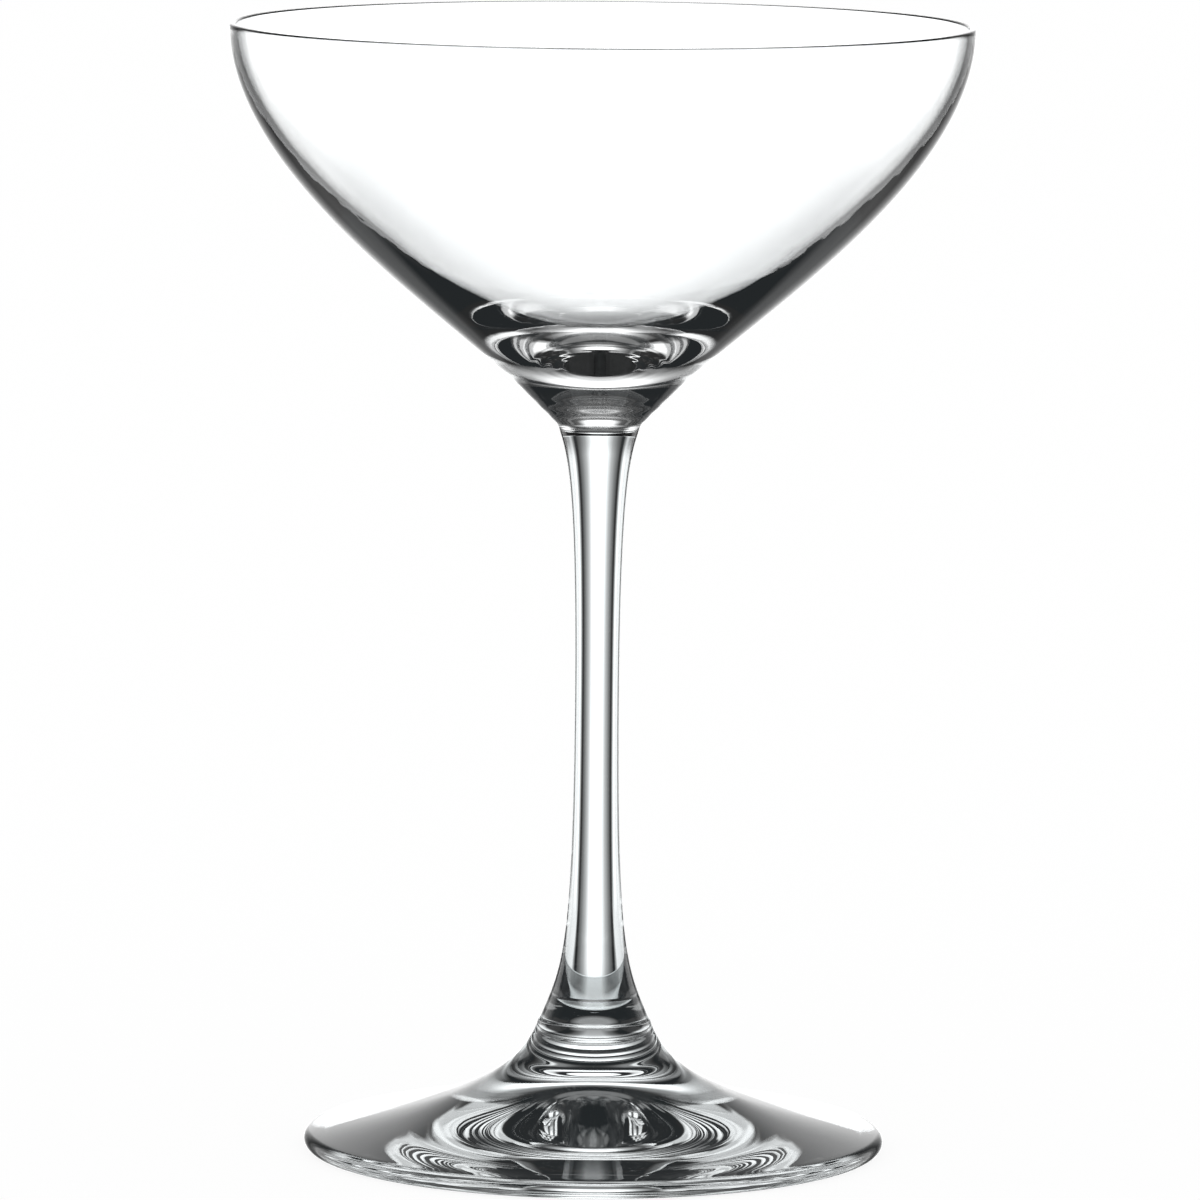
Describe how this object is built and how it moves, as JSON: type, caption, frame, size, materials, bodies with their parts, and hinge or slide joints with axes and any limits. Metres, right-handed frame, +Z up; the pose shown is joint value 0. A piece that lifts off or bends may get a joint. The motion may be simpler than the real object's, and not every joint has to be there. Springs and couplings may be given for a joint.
{
  "type": "champagne coupe",
  "caption": "Clear crystal coupe with a wide rounded bowl on a slim waisted stem and a swept round foot, for serving sparkling wine.",
  "frame": {"origin": "on the table, at the centre of the foot", "axes": "+Z up along the axis of the stem, -Y towards the camera of the picture, +X to its right"},
  "size_m": [0.105, 0.105, 0.16],
  "materials": {
    "bowl_crystal": "fire-polished clear crystal, blown",
    "stem_crystal": "fire-polished clear crystal, drawn solid",
    "foot_crystal": "fire-polished clear crystal, spun, with a fine-worn resting ring"
  },
  "bodies": {
    "root": {"bowl": "bowl_crystal", "stem": "stem_crystal", "foot": "foot_crystal"}
  },
  "joints": []
}
